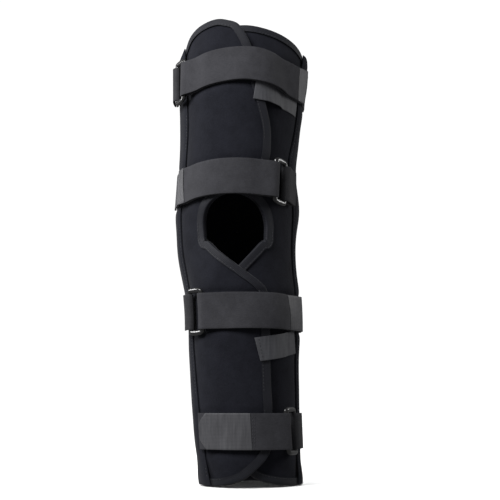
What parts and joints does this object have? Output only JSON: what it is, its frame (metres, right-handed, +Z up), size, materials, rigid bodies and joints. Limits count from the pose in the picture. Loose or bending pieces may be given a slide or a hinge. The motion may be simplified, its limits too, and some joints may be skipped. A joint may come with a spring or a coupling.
{
  "type": "knee immobilizer",
  "caption": "Knee immobilizer: a foam sleeve for thigh, knee and calf, with lapped front flaps, a kneecap opening, side stay casings and straps through loops.",
  "frame": {"origin": "the knee's centre on the leg's axis, where the sleeve is worn", "axes": "+Z up along the leg towards the hip, -Y towards the front of the knee, +X towards the viewer's right"},
  "size_m": [0.1556, 0.1841, 0.5085],
  "materials": {
    "foam": "brushed nap over foam",
    "binding": "woven stretch tape",
    "casing": "brushed nap",
    "strap_webbing": "brushed loop webbing",
    "tab_webbing": "looped webbing",
    "hook_fabric": "fine hook fabric",
    "loop_plastic": "gloss"
  },
  "bodies": {
    "root": {"back_panel": "foam", "under_flap": "foam", "outer_flap": "foam", "under_flap_binding": "binding", "outer_flap_binding": "binding", "back_rim_binding": "binding", "back_hem_binding": "binding", "left_stay_casing": "casing", "right_stay_casing": "casing", "upper_closure_tab": "hook_fabric", "lower_closure_tab": "hook_fabric", "upper_thigh_hook_end": "hook_fabric", "lower_thigh_hook_end": "hook_fabric", "upper_calf_hook_end": "hook_fabric", "lower_calf_hook_end": "hook_fabric", "upper_thigh_strap": "strap_webbing", "lower_thigh_strap": "strap_webbing", "upper_calf_strap": "strap_webbing", "lower_calf_strap": "strap_webbing", "upper_thigh_loop": "loop_plastic", "lower_thigh_loop": "loop_plastic", "upper_calf_loop": "loop_plastic", "lower_calf_loop": "loop_plastic", "upper_thigh_loop_tab": "tab_webbing", "lower_thigh_loop_tab": "tab_webbing", "upper_calf_loop_tab": "tab_webbing", "lower_calf_loop_tab": "tab_webbing"}
  },
  "joints": []
}
